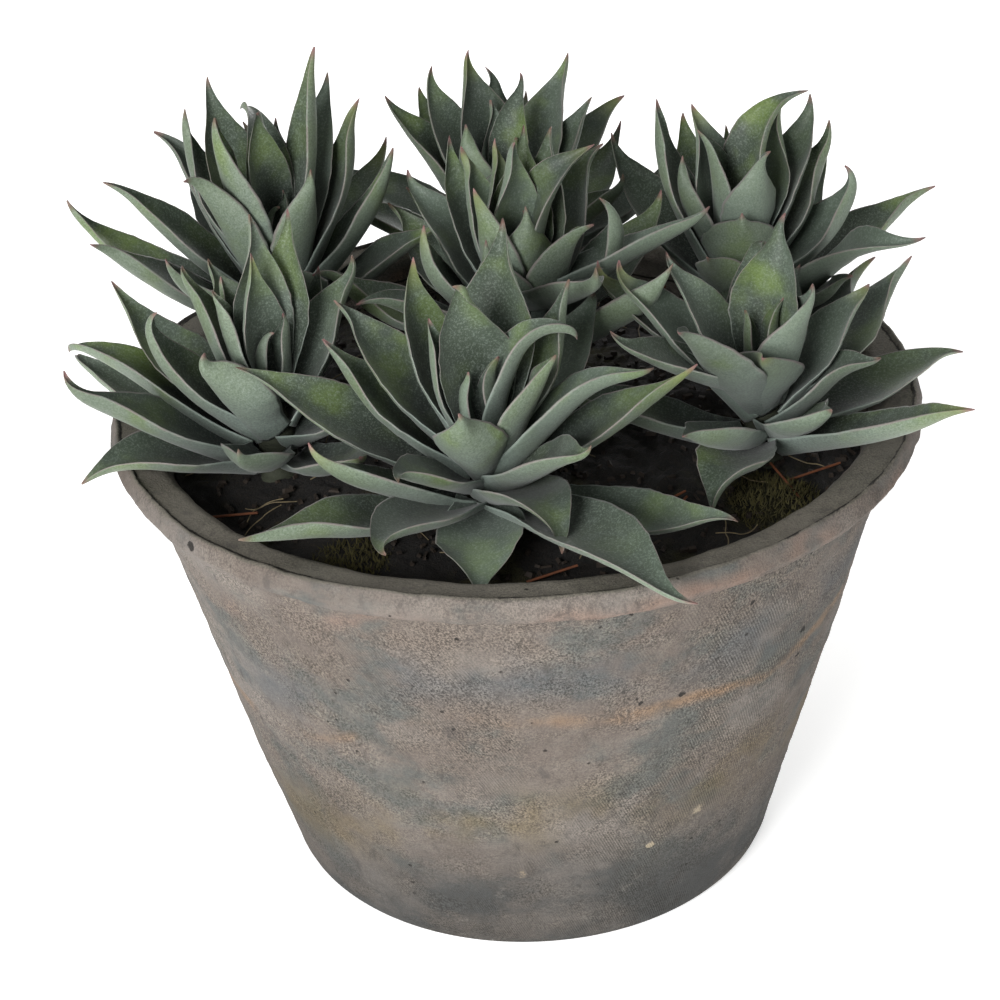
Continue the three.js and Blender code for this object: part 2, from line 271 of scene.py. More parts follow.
# The hand's and the weather's unevenness: broad dents, throwing rings, a chipped rim, small pits.
# Depths and sizes of lumps are in metres.
points = coordinates(pot.data)
reach = np.hypot(points[:, 0], points[:, 1])
exposed = (points[:, 2] > 0.15) | (reach > inside(points[:, 2]) + WALL / 2)
out = points * (1, 1, 0) / reach.clip(1e-6)[:, None]
rim = np.clip((points[:, 2] - (NECK - 0.008)) / 0.012, 0, 1)
swell = 0.0012 * rough(points, 0.09, 2) + 0.00035 * rough(points * (1, 1, 3), 0.02, 3)
swell += 0.00022 * rough(points, 0.0045, 2)
swell -= 0.0022 * np.clip(rough(points, 0.007, 2) - 0.75, 0, 1)
swell += rim * 0.0007 * rough(points * (1, 1, 2), 0.016, 3)
chips = np.clip(rough(points, 0.011, 2) - 0.45, 0, 1)
drop = rim * (0.0009 * rough(points, 0.03, 3) - 0.0013 * chips)

# Two finger dents under the collar and a pebble low down, which stands out: angle round from the
# front in degrees, height, radius, depth.
DENTS = [(-20, 0.186, 0.010, 0.0022), (-1, 0.190, 0.007, 0.0016), (-3, 0.050, 0.0045, -0.0040)]
for angle, z, radius, depth in DENTS:
    angle = math.radians(angle)
    dent = np.array((outside(z) * math.sin(angle), -outside(z) * math.cos(angle), z))
    far = np.linalg.norm(points - dent, axis=1) / radius
    swell -= depth * np.exp(-(far**4))
side = np.clip((points[:, 2] - 0.002) / 0.01, 0, 1) * exposed
points += out * (swell * side)[:, None]
points[:, 2] += np.minimum(drop, 0.0005) * exposed

# Nothing stands above the rim or outside the collar's size.
points[:, 2] = np.minimum(points[:, 2], POT_HEIGHT - 0.0001)
reach = np.hypot(points[:, 0], points[:, 1])
points[:, :2] /= np.maximum(reach / (COLLAR_RADIUS + 0.0012), 1)[:, None]
store(pot.data, points)

# A map round the side for the comb marks: once round across, and up in the same measure.
MEAN_RADIUS = 0.14
wrap = pot.data.uv_layers.new(name="round")
once_round = 2 * math.pi * MEAN_RADIUS
for face in pot.data.polygons:
    corners = [pot.data.vertices[pot.data.loops[i].vertex_index].co for i in face.loop_indices]
    turns = [math.atan2(c.x, -c.y) / (2 * math.pi) for c in corners]
    if max(turns) - min(turns) > 0.5:
        turns = [t + 1 if t < 0 else t for t in turns]
    for i, t, c in zip(face.loop_indices, turns, corners):
        wrap.data[i].uv = (t, c.z / once_round)
only(pot)
bpy.ops.object.shade_smooth()


def blend_colours(tree, share, low, high, kind="MIX"):
    """Colour low turned to high by share; each may be a hex code or a socket."""
    low, high = [linear(c) if isinstance(c, str) else c for c in (low, high)]
    node = add(tree, "Mix", {0: share, 6: low, 7: high}, data_type="RGBA", blend_type=kind)
    return node.outputs[2]


def between(tree, value, start, end, low=0.0, high=1.0):
    """value from start to end, as a smooth share from low to high."""
    node = add(
        tree, "MapRange",
        {"Value": value, "From Min": start, "From Max": end, "To Min": low, "To Max": high},
        interpolation_type="SMOOTHSTEP",
    )
    return node.outputs["Result"]


def times(tree, a, b):
    return add(tree, "Math", {0: a, 1: b}, operation="MULTIPLY").outputs[0]


def plus(tree, a, b):
    return add(tree, "Math", {0: a, 1: b}, operation="ADD").outputs[0]


def off_from(tree, value, middle):
    """How far a value is from the middle of its band, either way."""
    past = add(tree, "Math", {0: value, 1: middle}, operation="SUBTRACT").outputs[0]
    return add(tree, "Math", {0: past}, operation="ABSOLUTE").outputs[0]


def grain(place, size_mm, detail=4.0, stretch=(1, 1, 1), roughness=0.55, shift=(0, 0, 0), distort=0.0):
    """Noise over the coordinates in a socket, with lumps of a size in millimetres."""
    tree = place.id_data
    at = add(tree, "Mapping", {"Vector": place, "Scale": stretch, "Location": shift}).outputs[0]
    return add(
        tree, "TexNoise",
        {"Vector": at, "Scale": 1000 / size_mm, "Detail": detail, "Roughness": roughness,
         "Distortion": distort},
    ).outputs["Fac"]


# Weathered unglazed terracotta: a dull grey-brown skin of lime and dirt over warmer clay, sandy
# and without any gloss. Its sand is drawn 0.9 mm wide, a little coarser than it is.
clay, tree, shader = new_material("weathered_terracotta_thrown")
place = add(tree, "TexCoord").outputs["Object"]
spot = add(tree, "SeparateXYZ", {"Vector": place}).outputs
ring_map = add(tree, "UVMap", uv_map="round").outputs["UV"]
broad = grain(place, 85, 4, (1, 1, 1.7), distort=0.4)
cloudy = grain(place, 42, 5, (1, 1, 1.6), 0.62, (0.3, 0.1, 0))
mottled = grain(place, 11, 5, roughness=0.7)
sandy = grain(place, 0.9, 2, roughness=0.8)
skin = blend_colours(tree, between(tree, broad, 0.38, 0.62), "#5f5751", "#6d6762")
skin = blend_colours(tree, between(tree, cloudy, 0.47, 0.64, 0, 0.85), skin, "#4d504e")
skin = blend_colours(tree, between(tree, mottled, 0.42, 0.7, 0, 0.3), skin, "#7c756d")

# Bands that waver round the pot and sink to its left: slate grey, warm clay, olive, and warm clay
# again on the collar.
BANDS = [  # height of its middle, half its height, colour, strength
    (0.162, 0.022, "#474c50", 0.6),
    (0.138, 0.0055, "#7e6650", 0.7),
    (0.082, 0.030, "#63573f", 0.7),
    (0.203, 0.008, "#7d675b", 0.75),
]
waver = plus(tree, times(tree, grain(place, 60, 3), 0.026), -0.013)
waver = plus(tree, waver, between(tree, spot["X"], -0.02, -0.13, 0, 0.036))
band_height = plus(tree, spot["Z"], waver)
for middle, spread, code, strength in BANDS:
    band = between(tree, off_from(tree, band_height, middle), 0, spread, strength, 0)
    patchy = between(tree, grain(place, 48, 3, shift=(middle * 9, 0, 0)), 0.4, 0.6)
    skin = blend_colours(tree, times(tree, band, patchy), skin, code)

# Damp grey near the foot, with lime patches over it.
foot = between(tree, band_height, 0.02, 0.075, 0.95, 0)
skin = blend_colours(tree, times(tree, foot, between(tree, cloudy, 0.3, 0.6, 0.25, 1)), skin, "#3b3d3e")
lime = between(tree, grain(place, 14, 6, roughness=0.75, shift=(0, 0.4, 0.2)), 0.6, 0.72)
lime_low = times(tree, lime, between(tree, spot["Z"], 0.0, 0.06, 0.8, 0.25))
skin = blend_colours(tree, lime_low, skin, "#8d8983")

# The top of the rim is darker and greener, and worn pale on its edges.
up = add(tree, "SeparateXYZ", {"Vector": add(tree, "NewGeometry").outputs["Normal"]}).outputs["Z"]
top_of_rim = times(tree, between(tree, up, 0.6, 0.85, 0, 0.9), between(tree, spot["Z"], 0.19, 0.2))
skin = blend_colours(tree, top_of_rim, skin, blend_colours(tree, mottled, "#4a4740", "#6a665d"))

# A dark line where the collar's skin ends on the rim, and another under the collar: partly cracks, partly
# painted shade along these grooves.
flat_place = add(tree, "VectorMath", {0: place, 1: (1, 1, 0)}, operation="MULTIPLY").outputs[0]
from_axis = add(tree, "VectorMath", {0: flat_place}, operation="LENGTH").outputs["Value"]
wander = plus(tree, times(tree, grain(place, 9, 5, roughness=0.7), 0.004), -0.002)
CRACK_SHADE_LINES = [  # what it follows, at what value, half its width, the height it starts at
    (plus(tree, from_axis, wander), COLLAR_RADIUS - 0.0047, 0.0009, 0.203),
    (plus(tree, spot["Z"], times(tree, wander, 0.4)), NECK - 0.0005, 0.0007, 0.18),
]
for value, middle, spread, low_end in CRACK_SHADE_LINES:
    crack_shade = between(tree, off_from(tree, value, middle), 0.3 * spread, spread, 0.95, 0)
    crack_shade = times(tree, crack_shade, between(tree, spot["Z"], low_end - 0.003, low_end))
    skin = blend_colours(tree, crack_shade, skin, "#1d1a17")

# Comb marks, about 1.3 mm apart, slanting, and only in patches on the side.
COMB_LINES = 700  # once round the pot
lines = add(tree, "SeparateXYZ", {"Vector": ring_map}).outputs
phase = times(tree, lines["X"], COMB_LINES)
phase = plus(tree, phase, times(tree, lines["Y"], COMB_LINES * 0.5))
comb = add(tree, "Math", {0: times(tree, phase, 2 * math.pi)}, operation="SINE").outputs[0]
comb_patch = between(tree, grain(place, 70, 3, shift=(0.7, 0.2, 0.5)), 0.42, 0.56)
comb_patch = times(tree, comb_patch, between(tree, mottled, 0.35, 0.6))
comb_patch = times(tree, comb_patch, between(tree, spot["Z"], NECK - 0.002, NECK - 0.02))
comb_shade = times(tree, times(tree, comb, 0.5), comb_patch)
skin = blend_colours(tree, between(tree, comb_shade, 0.0, 0.5, 0, 0.38), skin, "#3f3c38")

# Sandy grain, dark and pale, then patches of closer and darker grit.
grit = between(tree, sandy, 0.34, 0.66)
grit_shade = blend_colours(tree, grit, "#6f6d6b", "#e4e2de")
grit_patch = between(tree, grain(place, 38, 6, (1, 1, 1.5), 0.65, (0.2, 0.6, 0.1)), 0.4, 0.6, 0.25, 0.95)
grit_patch = times(tree, grit_patch, between(tree, spot["Z"], NECK - 0.002, NECK + 0.002, 1, 0.45))
skin = blend_colours(tree, grit_patch, skin, grit_shade, "OVERLAY")
dark_grit = between(tree, grain(place, 7, 8, (1, 1, 0.7), 0.85, (0.9, 0, 0)), 0.52, 0.64, 0, 0.5)
skin = blend_colours(tree, dark_grit, skin, "#383532")
# Small pits, painted nearly black as the shade inside them.
cells = add(tree, "TexVoronoi", {"Vector": place, "Scale": 1000 / 7}).outputs["Distance"]
pit = times(tree, between(tree, cells, 0.07, 0.13, 1, 0), between(tree, grain(place, 22, 3), 0.54, 0.6))
skin = blend_colours(tree, times(tree, pit, 0.85), skin, "#1f1c19")
stain = between(tree, grain(place, 9, 4, (1, 1, 0.35)), 0.6, 0.7, 0, 0.45)
skin = blend_colours(tree, stain, skin, "#403d3b")
# Darker towards the bottom.
lower_darkening = between(tree, spot["Z"], 0.12, 0.0, 0, 0.35)
skin = blend_colours(tree, lower_darkening, skin, "#37342f")

# Single holes and pale chips: angle round from the front in degrees, height, radius, colour. The darkest
# are holes, painted nearly black as the shade inside them, and sink in.
MARKS = [
    (-49, 0.2065, 0.0022, "#120f0d"),
    (14, 0.194, 0.0012, "#1b1815"),
    (24, 0.142, 0.0016, "#1b1815"),
    (17, 0.143, 0.0012, "#1b1815"),
    (49, 0.146, 0.0020, "#1b1815"),
    (50, 0.131, 0.0017, "#1b1815"),
    (34, 0.180, 0.0013, "#1b1815"),
    (-20, 0.181, 0.0026, "#2f2d2b"),
    (-10, 0.186, 0.0011, "#141210"),
    (33, 0.065, 0.0030, "#8d8270"),
    (23, 0.053, 0.0020, "#938874"),
    (-3, 0.050, 0.0036, "#786d5e"),
]
holes = 0.0
ragged_edge = grain(place, 2.5, 3, roughness=0.7)
for angle, z, radius, code in MARKS:
    angle = math.radians(angle)
    wall = COLLAR_RADIUS - 0.001 if z > NECK else outside(z)
    here = Vector((wall * math.sin(angle), -wall * math.cos(angle), z))
    ragged = plus(tree, times(tree, ragged_edge, 2.4 * radius), -1.2 * radius)
    far = add(tree, "VectorMath", {0: place, 1: here}, operation="DISTANCE").outputs["Value"]
    mark = between(tree, plus(tree, far, ragged), 0.55 * radius, radius, 0.9, 0)
    skin = blend_colours(tree, mark, skin, code)
    if code.startswith("#1"):
        holes = plus(tree, mark, holes)
tree.links.new(skin, shader.inputs["Base Color"])
tree.links.new(between(tree, mottled, 0.3, 0.7, 0.82, 0.95), shader.inputs["Roughness"])
shader.inputs["Specular IOR Level"].default_value = 0.3
relief = plus(tree, times(tree, mottled, 0.9), times(tree, sandy, 0.5))
relief = plus(tree, relief, times(tree, comb_shade, 0.35))
relief = plus(tree, relief, times(tree, plus(tree, pit, holes), -1.4))
bump = add(tree, "Bump", {"Height": relief, "Strength": 0.85, "Distance": 0.001})
tree.links.new(bump.outputs["Normal"], shader.inputs["Normal"])
pot.data.materials.append(clay)
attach(pot, "root")
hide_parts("pot")


# ---- Soil ----
# Damp peat potting mix, poured in and pressed round the stems, heaped towards the middle.
SOIL_EDGE = 0.190
SOIL_DOME = 0.014
SOIL_RADIUS = inside(SOIL_EDGE) - 0.0004
SOIL_RINGS = 70
SOIL_SIDE = [  # depth under the soil's edge, radius
    (0.01, inside(SOIL_EDGE - 0.01) - 0.0006),
    (0.1, inside(0.08) - 0.0006),
    (0.175, inside(0.0155) - 0.001),
    (0.1775, inside(POT_FLOOR) - 0.006),
]


def soil_height(x, y):
    share = np.minimum(1, np.hypot(x, y) / inside(SOIL_EDGE))
    return SOIL_EDGE + SOIL_DOME * (1 - share * share)


bpy.ops.object.select_all(action="DESELECT")
bpy.ops.mesh.primitive_circle_add(vertices=180, radius=SOIL_RADIUS, fill_type="NOTHING")
soil = bpy.context.object
soil.name = "soil_bed"
bpy.ops.object.mode_set(mode="EDIT")
bpy.ops.mesh.select_mode(type="VERT")
bpy.ops.mesh.select_all(action="SELECT")
radius = SOIL_RADIUS
for ring in range(1, SOIL_RINGS):
    next_radius = SOIL_RADIUS * (1 - ring / SOIL_RINGS)
    bpy.ops.mesh.extrude_edges_move(TRANSFORM_OT_translate={"value": (0, 0, 0)})
    size = next_radius / radius
    bpy.ops.transform.resize(value=(size, size, 1), center_override=(0, 0, 0))
    radius = next_radius
bpy.ops.mesh.edge_face_add()
bpy.ops.mesh.select_all(action="DESELECT")
bpy.ops.object.mode_set(mode="OBJECT")
for e in soil.data.edges:
    e.select = all(soil.data.vertices[i].co.length > SOIL_RADIUS - 1e-5 for i in e.vertices)
bpy.ops.object.mode_set(mode="EDIT")
bpy.ops.mesh.select_mode(type="EDGE")
radius = SOIL_RADIUS
for depth, next_radius in SOIL_SIDE:
    size = next_radius / radius
    bpy.ops.mesh.extrude_edges_move(TRANSFORM_OT_translate={"value": (0, 0, 0)})
    bpy.ops.transform.resize(value=(size, size, 1), center_override=(0, 0, 0))
    bpy.ops.object.mode_set(mode="OBJECT")
    for v in soil.data.vertices:
        if v.select:
            v.co.z = -depth
    bpy.ops.object.mode_set(mode="EDIT")
    radius = next_radius
bpy.ops.mesh.edge_face_add()
bpy.ops.mesh.select_all(action="SELECT")
bpy.ops.mesh.normals_make_consistent(inside=False)
bpy.ops.object.mode_set(mode="OBJECT")

# The top rises in a dome with crumbs on it, except where it meets the pot.
points = coordinates(soil.data)
top = points[:, 2] > -0.0001
inner = np.clip((inside(SOIL_EDGE) - np.hypot(points[:, 0], points[:, 1])) / 0.004, 0, 1)
crumbs = 0.0022 * rough(points, 0.014, 3) + 0.0016 * rough(points, 0.0045, 2)
points[:, 2] += np.where(top, soil_height(points[:, 0], points[:, 1]) + crumbs * inner, SOIL_EDGE)
store(soil.data, points)
only(soil)
bpy.ops.object.shade_smooth()

# Damp peat mix: nearly black and dull, with brown fibres and a green film of algae in places.
peat, tree, shader = new_material("damp_peat_mix")
place = add(tree, "TexCoord").outputs["Object"]
clods = grain(place, 6, 6, roughness=0.7)
fine = grain(place, 1.5, 4, roughness=0.75, shift=(0.2, 0.3, 0))
earth = blend_colours(tree, between(tree, clods, 0.35, 0.65), "#070504", "#16110c")
earth = blend_colours(tree, between(tree, fine, 0.56, 0.7, 0, 0.8), earth, "#2e2416")
green_film = between(tree, grain(place, 30, 4, shift=(0.1, 0.9, 0)), 0.52, 0.66, 0, 0.6)
earth = blend_colours(tree, times(tree, green_film, fine), earth, "#4d4a1c")
tree.links.new(earth, shader.inputs["Base Color"])
shader.inputs["Roughness"].default_value = 0.92
bump = add(tree, "Bump", {"Height": plus(tree, clods, fine), "Strength": 1.0, "Distance": 0.0018})
tree.links.new(bump.outputs["Normal"], shader.inputs["Normal"])
soil.data.materials.append(peat)
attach(soil, "root")
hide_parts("soil")

# ---- Leaves ----
# Each leaf is one thick, waxy blade with a channel above and a keel below, sheathing the stem at
# its base and drawn out to a fine tip. It is shaped along its own middle line, because the bend,
# curl and cup of every leaf differ.
PLANTING = 0.194  # height that the lifts of the hearts are counted from
STEM_RADIUS = 0.009
STEM_DEPTH = 0.012  # in the soil
STEM_RISE = 0.016  # above the heart's foot
OUTER_LEAVES = 6  # those that stand for CAD pieces of their own
LEAF_SIDES = 20
LEAF_RINGS = 40
LINE_STEPS = 80  # along a leaf's middle line
WIDENING = 1.2  # full width over the width in its row, which is measured on a cupped leaf
CROWDED = 0.22  # share of its length where a leaf is pressed between others
ATTEMPTS = 16

# Share of the length: share of the full width, angle from the middle of the channel round to its
# edge in radians, thickness in metres.
LEAF_STATIONS = np.array([
    (0.00, 0.64, 1.05, 0.0050), (0.14, 0.70, 0.95, 0.0044), (0.30, 0.89, 0.80, 0.0038),
    (0.43, 1.00, 0.70, 0.0034), (0.55, 0.96, 0.72, 0.0030), (0.67, 0.75, 0.84, 0.0026),
    (0.77, 0.50, 1.00, 0.0021), (0.85, 0.29, 1.25, 0.0016), (0.915, 0.155, 1.35, 0.0012),
    (0.96, 0.08, 1.30, 0.0009), (1.00, 0.015, 1.00, 0.0003),
])

# Each plant: x, y and lift of its heart, and its leaves, the outermost first. Each leaf: azimuth,
# rise at its base, bend on its way to the tip, length and width in millimetres, curl of its tip.
# Angles are in degrees.
ROSETTES = {
    "front": (-0.014, -0.080, 0.000, [
        (215, 10, 8, 106, 28, 0), (-56, 19, -22, 122, 31, 0), (-32, 10, 5, 102, 28, 0),
        (203, 12, 8, 76, 27, 0), (228, 8, 5, 76, 28, 0), (-103, 6, -12, 60, 31, -20),
        (-73, 14, -18, 68, 29, -40), (168, 20, 18, 104, 30, 0), (-14, 18, 12, 96, 28, -10),
        (-40, 18, 12, 70, 27, -20), (225, 22, 10, 56, 24, 0), (90, 18, 15, 84, 28, 0),
        (163, 28, 18, 80, 30, 0), (-14, 35, 8, 80, 27, -40), (42, 18, 18, 86, 30, 0),
        (-105, 38, 28, 50, 27, 0), (148, 32, 18, 85, 30, 0), (-15, 42, 15, 58, 26, -15),
        (138, 50, 34, 86, 26, 0), (28, 50, 15, 76, 27, 0), (160, 60, 24, 58, 22, 0),
        (70, 64, 8, 90, 33, 0), (112, 72, 8, 72, 31, 0), (4, 92, -45, 74, 20, -75),
    ]),
    "right": (0.100, -0.042, 0.002, [
        (184, 22, 10, 92, 28, 0), (-42, 22, 12, 96, 28, 0), (-115, 10, -10, 55, 28, -40),
        (25, 2, 18, 88, 28, 0), (228, 12, 10, 62, 25, 0), (48, 6, 5, 98, 28, 0),
        (-72, 18, 25, 48, 27, 0), (-22, 28, 15, 54, 28, -25), (95, 14, 12, 78, 27, 0),
        (165, 45, 8, 86, 30, 0), (15, 38, 12, 64, 26, 0), (38, 28, 10, 86, 29, 0),
        (143, 46, 8, 72, 22, -20), (220, 40, 15, 76, 31, 0), (92, 44, 5, 72, 24, 0),
        (-88, 30, 25, 44, 29, 0), (-35, 62, 15, 56, 31, 0), (48, 64, 0, 52, 24, 0),
        (70, 82, 0, 72, 30, 0), (200, 30, 14, 74, 27, 0), (150, 22, 14, 84, 28, 0),
    ]),
    "back_right": (0.100, 0.052, 0.014, [
        (-38, 32, 12, 100, 28, -20), (60, 12, 15, 92, 28, 0), (95, 14, 12, 88, 28, 0),
        (-55, 28, 5, 66, 26, 0), (15, 18, 18, 90, 28, 0), (135, 20, 15, 88, 28, 0),
        (-104, 28, 18, 50, 24, 0), (0, 34, 18, 76, 30, 50), (160, 56, 14, 92, 28, 15),
        (22, 42, 14, 80, 28, 15), (75, 34, 12, 82, 28, 0), (110, 38, 14, 78, 27, 0),
        (-95, 54, 15, 48, 33, 0), (190, 46, 12, 62, 26, 0), (130, 56, 12, 76, 30, 0),
        (32, 58, 8, 80, 28, 0), (175, 66, 15, 66, 26, 0), (95, 56, 8, 60, 24, 0),
        (50, 64, 5, 76, 28, 0), (-70, 68, 10, 62, 25, 0), (40, 92, -32, 84, 26, -60),
    ]),
    "back": (0.002, 0.100, 0.016, [
        (100, 8, 15, 92, 28, 0), (60, 8, 12, 104, 28, 0), (140, 10, 15, 96, 28, 0),
        (20, 14, 15, 84, 27, 0), (180, 20, 12, 82, 27, 0), (85, 24, 15, 88, 28, 0),
        (120, 28, 14, 88, 28, 0), (-20, 30, 12, 66, 26, 0), (205, 34, 12, 62, 26, 0),
        (165, 44, 18, 86, 28, 0), (42, 34, 15, 84, 28, 0), (148, 50, 15, 86, 28, 0),
        (100, 46, 12, 80, 28, 0), (22, 52, 8, 70, 25, 0), (-95, 52, 15, 52, 28, 0),
        (128, 58, 8, 82, 30, 0), (52, 54, 8, 80, 29, 0), (-150, 60, 14, 56, 26, 0),
        (112, 72, 0, 54, 20, 0), (62, 84, -18, 66, 19, -30),
    ]),
    "back_left": (-0.098, 0.055, 0.016, [
        (165, 18, 18, 104, 28, 0), (195, 30, 10, 92, 29, 0), (90, 12, 14, 92, 28, 0),
        (218, 26, 10, 72, 28, 0), (125, 16, 15, 96, 28, 0), (-15, 32, 18, 78, 28, 0),
        (-75, 36, 18, 56, 28, 0), (55, 22, 15, 88, 28, 0), (176, 36, 18, 92, 26, 0),
        (142, 34, 14, 92, 27, 15), (8, 38, 18, 86, 26, 0), (108, 40, 12, 84, 28, 0),
        (200, 50, 16, 76, 30, -25), (72, 42, 12, 84, 27, 0), (160, 56, 16, 90, 25, 0),
        (22, 48, 16, 90, 30, 15), (-36, 58, 18, 62, 28, 0), (138, 50, 10, 94, 31, 15),
        (-170, 66, 10, 82, 32, 0), (45, 58, 10, 90, 27, 0), (90, 60, 8, 68, 27, 0),
        (22, 66, 12, 102, 24, 0), (135, 74, 8, 80, 22, 0), (110, 86, -22, 88, 19, -90),
    ]),
    "left": (-0.098, -0.038, 0.002, [
        (203, 16, 6, 76, 30, -40), (190, 16, 10, 92, 29, 0), (-50, 10, 34, 60, 28, 0),
        (152, 6, 12, 98, 29, 0), (-105, 10, 22, 46, 28, 0), (174, 20, 14, 92, 28, 0),
        (100, 12, 14, 76, 27, 0), (-25, 20, 25, 52, 26, 0), (178, 34, 28, 76, 26, 0),
        (150, 28, 12, 90, 28, 0), (62, 38, 14, 68, 28, 30), (-140, 46, 18, 54, 33, -15),
        (38, 46, 14, 74, 27, 0), (160, 46, 18, 72, 28, 0), (118, 40, 12, 70, 28, 0),
        (150, 60, 16, 60, 26, 0), (95, 60, 8, 76, 20, -40), (178, 62, 12, 56, 24, 0),
        (132, 72, 8, 66, 21, 0), (62, 72, 8, 78, 21, 0), (104, 80, 4, 76, 22, 0),
    ]),
    "middle": (0.004, 0.012, 0.020, [
        (180, 22, 10, 90, 29, 0), (-38, 30, 5, 90, 28, 0), (-80, 20, 12, 64, 27, 0),
        (215, 24, 12, 74, 27, 0), (80, 20, 12, 74, 27, 0), (135, 26, 15, 80, 28, 0),
        (25, 26, 14, 84, 28, 0), (190, 42, 20, 68, 26, 0), (-5, 40, 18, 78, 31, 45),
        (152, 38, 14, 80, 28, 0), (45, 44, 14, 82, 30, 0), (-120, 44, 18, 54, 26, 0),
        (-30, 56, 18, 60, 28, 0), (132, 50, 10, 82, 28, 0), (90, 46, 10, 74, 27, 0),
        (-142, 64, 16, 66, 26, 0), (150, 62, 10, 74, 25, 0), (52, 62, 10, 78, 29, 0),
        (115, 66, 8, 72, 24, 0), (-75, 68, 12, 52, 24, 0), (70, 74, 5, 74, 27, 0),
        (10, 92, -30, 78, 25, -70), (120, 82, 5, 72, 23, 0), (-62, 22, 14, 84, 28, 0),
        (-8, 20, 14, 86, 28, 0),
    ]),
}
HEART_LEAVES = [(20, 78, 6, 38, 13, -10), (160, 82, 5, 32, 11, 0)]

# The blank that every leaf is shaped from: a closed tube of unit size, ringed along its length.
bpy.ops.object.select_all(action="DESELECT")
bpy.ops.mesh.primitive_cylinder_add(vertices=LEAF_SIDES, radius=1, depth=1, end_fill_type="TRIFAN")
blank = bpy.context.object
bpy.ops.object.mode_set(mode="EDIT")
bpy.ops.mesh.select_all(action="DESELECT")
bpy.ops.object.mode_set(mode="OBJECT")
for e in blank.data.edges:
    ends = [blank.data.vertices[i].co for i in e.vertices]
    e.select = abs(ends[0].z - ends[1].z) > 0.5
bpy.ops.object.mode_set(mode="EDIT")
bpy.ops.mesh.select_mode(type="EDGE")
bpy.ops.mesh.subdivide(number_cuts=LEAF_RINGS - 1)
bpy.ops.object.mode_set(mode="OBJECT")
only(blank)
bpy.ops.object.shade_smooth()
blank_points = coordinates(blank.data)
along = blank_points[:, 2] + 0.5
across = blank_points[:, 0]
over_under = blank_points[:, 1]
on_axis = np.hypot(across, over_under) < 0.5
for attribute, values in (("along", along), ("across", across), ("upper", over_under)):
    blank.data.attributes.new(attribute, "FLOAT", "POINT").data.foreach_set("value", values)
FREE_FACES = [list(f.vertices) for f in blank.data.polygons if min(along[i] for i in f.vertices) > CROWDED]

# Waxy leaf skin with a powdery grey bloom: matte, bluish at the base, greener to the tip, with
# thin purple margins. The underside is paler. The top side is partly its own darker colour and
# partly painted shade: it goes nearly black towards the base, deep in the rosette, and along the
# middle of its channel. The bloom's specks are drawn 0.9 mm wide, coarser than they are, so that
# they show.
leaf_skin, tree, shader = new_material("waxy_leaf_with_bloom")
place = add(tree, "TexCoord").outputs["Object"]
length_share, side_share, upper, tint, greenness, shade = [
    add(tree, "Attribute", attribute_name=name).outputs["Fac"]
    for name in ("along", "across", "upper", "tint", "greenness", "shade")
]
edge_share = add(tree, "Math", {0: side_share}, operation="ABSOLUTE").outputs[0]
patches = grain(place, 26, 3)
streaks = grain(place, 7, 3, roughness=0.6)
powder = grain(place, 0.9, 2, roughness=0.85)
# Painted shade: the top side darkens to nearly black towards the leaf's base, where it lies deep in the
# rosette.
shaded_top_side = blend_colours(tree, between(tree, length_share, 0.05, 0.7), "#161a18", "#394436")
# Painted shade along the middle of the channel, strongest towards the base.
channel_shade = between(tree, edge_share, 0.0, 0.75, 0.55, 0)
channel_shade = times(tree, channel_shade, between(tree, length_share, 0.75, 0.1))
shaded_top_side = blend_colours(tree, channel_shade, shaded_top_side, "#161a19")
under_side = blend_colours(tree, between(tree, length_share, 0.1, 0.9), "#626d66", "#626f5a")
hide = blend_colours(tree, between(tree, upper, -0.12, 0.08), under_side, shaded_top_side)
green_share = times(tree, between(tree, patches, 0.45, 0.68), greenness)
green_share = times(tree, green_share, between(tree, length_share, 0.1, 0.7))
hide = blend_colours(tree, green_share, hide, "#5b6e30")
hide = blend_colours(tree, between(tree, streaks, 0.45, 0.7, 0, 0.2), hide, "#5c6860")
hide = blend_colours(tree, between(tree, powder, 0.48, 0.68, 0, 0.32), hide, "#8a958b")
hide = blend_colours(tree, between(tree, powder, 0.5, 0.3, 0, 0.4), hide, "#2b322d")
hide = blend_colours(tree, between(tree, tint, 0.5, 1.0, 0, 0.3), hide, "#69766c")
hide = blend_colours(tree, between(tree, tint, 0.5, 0.0, 0, 0.4), hide, "#2d3432")
margin = between(tree, edge_share, 0.955, 0.99, 0, 0.55)
hide = blend_colours(tree, margin, hide, "#87928a")
rose = between(tree, edge_share, 0.94, 0.99)
rose = times(tree, rose, between(tree, length_share, 0.25, 0.6))
rose = times(tree, rose, between(tree, streaks, 0.3, 0.55, 0.1, 0.6))
hide = blend_colours(tree, rose, hide, "#6f5a5b")
yellow = times(tree, between(tree, length_share, 0.78, 0.98, 0, 0.55), between(tree, shade, 0.78, 0.9))
hide = blend_colours(tree, yellow, hide, "#6c7338")
tip = between(tree, length_share, 0.93, 0.995, 0, 0.9)
hide = blend_colours(tree, tip, hide, blend_colours(tree, shade, "#5d4a3c", "#7b5558"))
tree.links.new(hide, shader.inputs["Base Color"])
tree.links.new(between(tree, streaks, 0.3, 0.7, 0.5, 0.66), shader.inputs["Roughness"])
shader.inputs["Specular IOR Level"].default_value = 0.35
shader.inputs["Sheen Weight"].default_value = 0.12
shader.inputs["Sheen Roughness"].default_value = 0.5
bump = add(tree, "Bump", {"Height": plus(tree, streaks, powder), "Strength": 0.25, "Distance": 0.0004})
tree.links.new(bump.outputs["Normal"], shader.inputs["Normal"])

